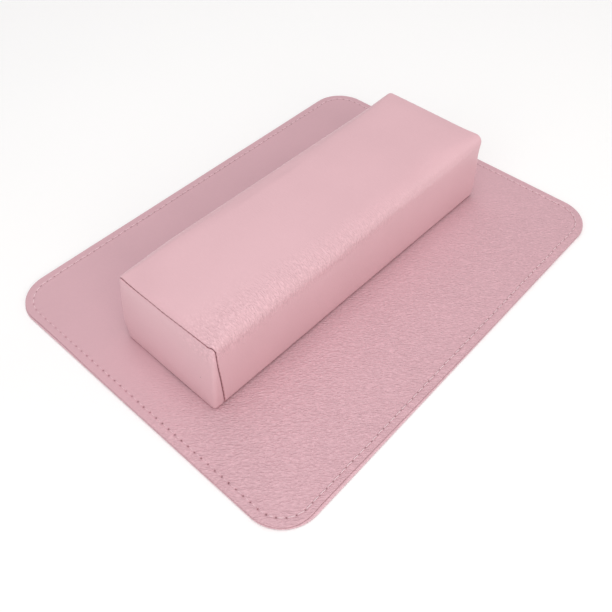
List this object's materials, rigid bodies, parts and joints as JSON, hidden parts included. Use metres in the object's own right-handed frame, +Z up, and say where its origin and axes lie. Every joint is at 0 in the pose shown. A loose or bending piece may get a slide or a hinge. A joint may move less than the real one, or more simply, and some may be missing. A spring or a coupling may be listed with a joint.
{
  "type": "manicure hand rest",
  "caption": "Boxy padded hand pillow in a sewn leather-look cover, lying on a thin rounded rectangular mat of stitched leather-look sheets.",
  "frame": {"origin": "on the table, under the middle of the mat", "axes": "+X along the mat's long side, towards the pillow's far end in the picture; +Y across the mat; +Z up"},
  "size_m": [0.4, 0.3, 0.0689],
  "materials": {
    "mat_leather": "pale pink, pebble grained, satin",
    "backing_leather": "pale pink, fine grained, satin",
    "cover_leather": "pale pink, pebble grained, satin",
    "end_leather": "pale pink, pebble grained, satin",
    "base_leather": "pale pink, fine grained, satin",
    "mat_thread": "pink sewing thread",
    "seam_thread": "dark rose sewing thread",
    "foam": "cream upholstery foam"
  },
  "bodies": {
    "root": {"mat_top_sheet": "mat_leather", "mat_backing_sheet": "backing_leather", "mat_needle_thread": "mat_thread", "mat_bobbin_thread": "mat_thread", "pillow_wrap": "cover_leather", "pillow_near_end": "end_leather", "pillow_far_end": "end_leather", "pillow_base": "base_leather", "foam_core": "foam", "near_seam_thread": "seam_thread", "far_seam_thread": "seam_thread", "base_seam_thread": "seam_thread"}
  },
  "joints": []
}
